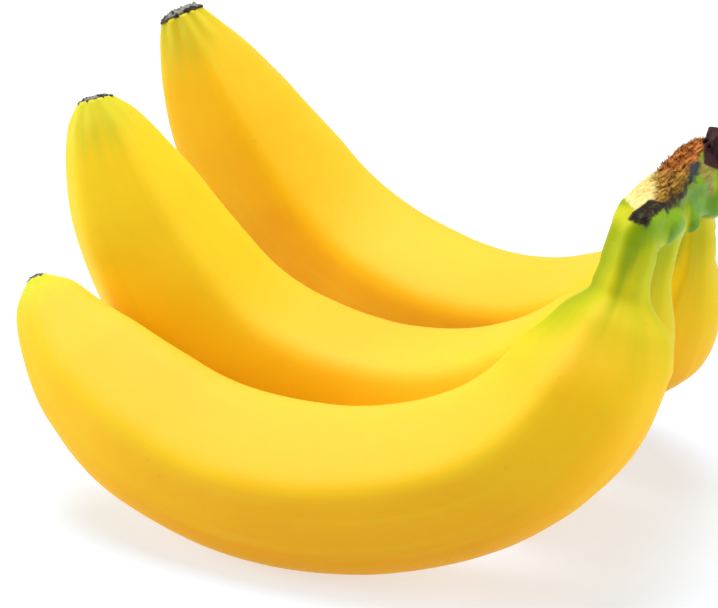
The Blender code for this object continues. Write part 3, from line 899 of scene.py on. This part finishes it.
def crown_material():
    """The crown's green skin, torn flesh, dried scab, patch and lump."""
    g = Graph("crown")
    w = g.attribute("w")
    n = g.attribute("n")
    z = g.attribute("z")
    cut = g.attribute("cut")
    dark = g.attribute("dark")
    grain_place = g.vector(g.times(w, 0.35), n, z)
    fibre = g.noise(1.4, 5.0, grain_place, 0.65)
    thread = g.noise(1.7, 5.0, g.vector(g.times(w, 0.16), n, z), 0.62)
    spots = g.noise(700.0, 4.0, None, 0.7)
    cloud = g.noise(160.0, 4.0)
    # Living skin: as on the necks low down, leaf green above, with pale waxy scurf.
    _, streak = peel_streaks(g)
    skin = neck_colour(g, CROWN_YELLOW, streak, g.attribute("green"))
    leaf = g.mix(g.ramp(cloud, 0.35, 0.65), LEAF_DARK, LEAF_LIGHT)
    outer = g.times(g.ramp(n, 2.5, 5.5), g.ramp(z, 76.5, 80.5))
    outer = g.times(outer, 0.85)
    skin = g.mix(g.math("MAXIMUM", g.attribute("plate"), outer), skin, leaf)
    rim = g.times(g.ramp(w, 3.0, -1.0), g.ramp(z, 79.0, 82.0))
    rim = g.times(rim, g.ramp(n, 3.0, 0.5))
    skin = g.mix(g.times(rim, 0.8), skin, RIM_YELLOW)
    scurf = g.times(g.ramp(fibre, 0.42, 0.62), g.ramp(z, 79.6, 81.4))
    scurf = g.times(scurf, g.ramp(w, 6.0, 12.0))
    skin = g.mix(g.times(scurf, 0.6), skin, SCURF)
    tan = g.mix(g.ramp(thread, 0.4, 0.6), TAN_LIGHT, TAN_DARK)
    skin = g.mix(g.times(g.attribute("tan"), 0.85), skin, tan)
    # Torn flesh: cream at the near end, orange brown further along, dark pits and threads.
    cream = g.mix(g.ramp(fibre, 0.35, 0.7), CREAM_LIGHT, CREAM_DARK)
    rust = g.mix(g.ramp(thread, 0.34, 0.66), GOLD, GOLD_DARK)
    redder = g.mix(g.ramp(thread, 0.34, 0.66), RUST, RUST_DARK)
    rust = g.mix(g.attribute("rust"), rust, redder)
    # Painted shade: the torn flesh darkens to olive brown towards the rim's dried line.
    rust = g.mix(g.times(g.attribute("deep"), 0.75), rust, OLIVE_BROWN_SHADE)
    flesh = g.mix(g.attribute("brown"), cream, rust)
    pits = g.ramp(g.noise(0.7, 3.0, grain_place), 0.56, 0.62)
    pits = g.times(pits, g.attribute("brown"))
    flesh = g.mix(g.times(pits, 0.8), flesh, PIT)
    base = g.mix(cut, skin, flesh)
    black = g.mix(g.ramp(spots, 0.45, 0.75), SCAB_DARK, SCAB_LIGHT)
    black = g.mix(g.attribute("lump"), black, LUMP_BROWN)
    black = g.mix(g.attribute("patch"), black, PATCH_GREY)
    base = g.mix(dark, base, black)
    g.link(base, g.shader.inputs["Base Color"])
    rough = g.math("ADD", g.times(cut, 0.35), 0.45)
    g.link(rough, g.shader.inputs["Roughness"])
    s = g.shader.inputs
    s["Specular IOR Level"].default_value = 0.12
    s["Subsurface Weight"].default_value = 0.12
    s["Subsurface Radius"].default_value = (0.7, 0.6, 0.1)
    s["Subsurface Scale"].default_value = 0.003
    mask = g.math("ADD", cut, g.times(dark, 0.8), True)
    height = g.times(g.math("ADD", thread, g.times(spots, 0.6)),
                     g.math("ADD", g.times(mask, 0.9), 0.1))
    g.link(g.bump(height, 0.0006, 0.7), s["Normal"])
    return g.material


def dried_material():
    """Dry crumbs, dark at the base, with a paler grey painted highlight on their crests."""
    g = Graph("dried_flower")
    high = g.attribute("high")
    spots = g.noise(900.0, 4.0, None, 0.7)
    base = g.mix(g.ramp(spots, 0.4, 0.7), FLOWER_DARK, FLOWER_LIGHT)
    # Painted highlight: the crumbs' crests are paler grey by their height.
    base = g.mix(g.ramp(high, 0.25, 0.7, 0.0, 0.65), base, FLOWER_CREST_HIGHLIGHT)
    base = g.mix(g.ramp(g.noise(420.0, 2.0), 0.52, 0.60), base, FLOWER_PIT)
    g.link(base, g.shader.inputs["Base Color"])
    g.shader.inputs["Roughness"].default_value = 0.85
    g.link(g.bump(spots, 0.0006, 0.9), g.shader.inputs["Normal"])
    return g.material


for seed, key in enumerate(FINGERS, 11):
    piece = make_finger(key, seed)
    piece.data.materials.append(peel_material(key, NECK_GREEN[key], **PEELS[key]))
    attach(piece, "root")
    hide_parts("banana_" + key)

dried_look = dried_material()
for seed, key in enumerate(FINGERS, 31):
    piece = make_dried_end(key, seed)
    piece.data.materials.append(dried_look)
    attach(piece, "root")
    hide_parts("blossom_end_" + key)

crown = make_crown()
crown.data.materials.append(crown_material())
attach(crown, "root")
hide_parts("crown")

# The floor, the lights (place, target, size, power) and the camera, in metres.
FLOOR_HALF = 3.0
FLOOR_COLOUR = (0.43, 0.51, 0.63, 1.0)
FLOOR_GLOW = 0.57
LIGHTS = {
    "overhead": ((-0.12, 0.18, 1.15), (0, 0, 0.03), 0.9, 13.7),
    "left": ((-1.2, -0.1, 0.5), (0, 0, 0.04), 0.8, 7.8),
    "right": ((1.15, -0.4, 0.45), (0, 0, 0.04), 0.9, 7.2),
}
ROOM_LIGHT = 0.22
CAMERA_RISE = math.radians(22.05)
CAMERA_FAR = 0.7616
LOOK_AT = Vector((SHIFT[0] * MM, SHIFT[1] * MM, 0.0369))
PIXELS_PER_MM = 4.4
PHOTO_WIDTH = 718.0
SENSOR = 36.0
WHITE = (1.0, 1.0, 1.0, 1.0)


def make_floor():
    """A plain pale floor that glows a little, so that it comes out near white."""
    mesh = bpy.data.meshes.new("floor")
    half = FLOOR_HALF
    mesh.from_pydata([(-half, -half, 0), (half, -half, 0), (half, half, 0), (-half, half, 0)],
                     [], [(0, 1, 2, 3)])
    floor = bpy.data.objects.new("floor", mesh)
    bpy.context.scene.collection.objects.link(floor)
    g = Graph("floor")
    g.shader.inputs["Base Color"].default_value = FLOOR_COLOUR
    g.shader.inputs["Emission Color"].default_value = WHITE
    g.shader.inputs["Emission Strength"].default_value = FLOOR_GLOW
    g.shader.inputs["Roughness"].default_value = 0.9
    g.shader.inputs["Specular IOR Level"].default_value = 0.1
    mesh.materials.append(g.material)


def make_light(name, place, target, size, power):
    """A round soft light."""
    lamp = bpy.data.lights.new(name, "AREA")
    lamp.shape = "DISK"
    lamp.size = size
    lamp.energy = power
    item = bpy.data.objects.new(name, lamp)
    item.location = place
    item.rotation_euler = (Vector(target) - Vector(place)).to_track_quat("-Z", "Y").to_euler()
    bpy.context.scene.collection.objects.link(item)


make_floor()
for name, settings in LIGHTS.items():
    make_light(name, *settings)

world = bpy.data.worlds.new("studio")
world.use_nodes = True
world.node_tree.nodes["Background"].inputs["Color"].default_value = WHITE
world.node_tree.nodes["Background"].inputs["Strength"].default_value = ROOM_LIGHT
bpy.context.scene.world = world

camera_data = bpy.data.cameras.new("camera")
camera_data.sensor_width = SENSOR
camera_data.lens = PIXELS_PER_MM * CAMERA_FAR * 1000.0 / PHOTO_WIDTH * SENSOR
camera = bpy.data.objects.new("camera", camera_data)
back = Vector((0.0, -math.cos(CAMERA_RISE), math.sin(CAMERA_RISE)))
camera.location = LOOK_AT + back * CAMERA_FAR
camera.rotation_euler = (math.radians(90.0) - CAMERA_RISE, 0.0, 0.0)
bpy.context.scene.collection.objects.link(camera)
bpy.context.scene.camera = camera
bpy.context.scene.view_settings.view_transform = "Standard"
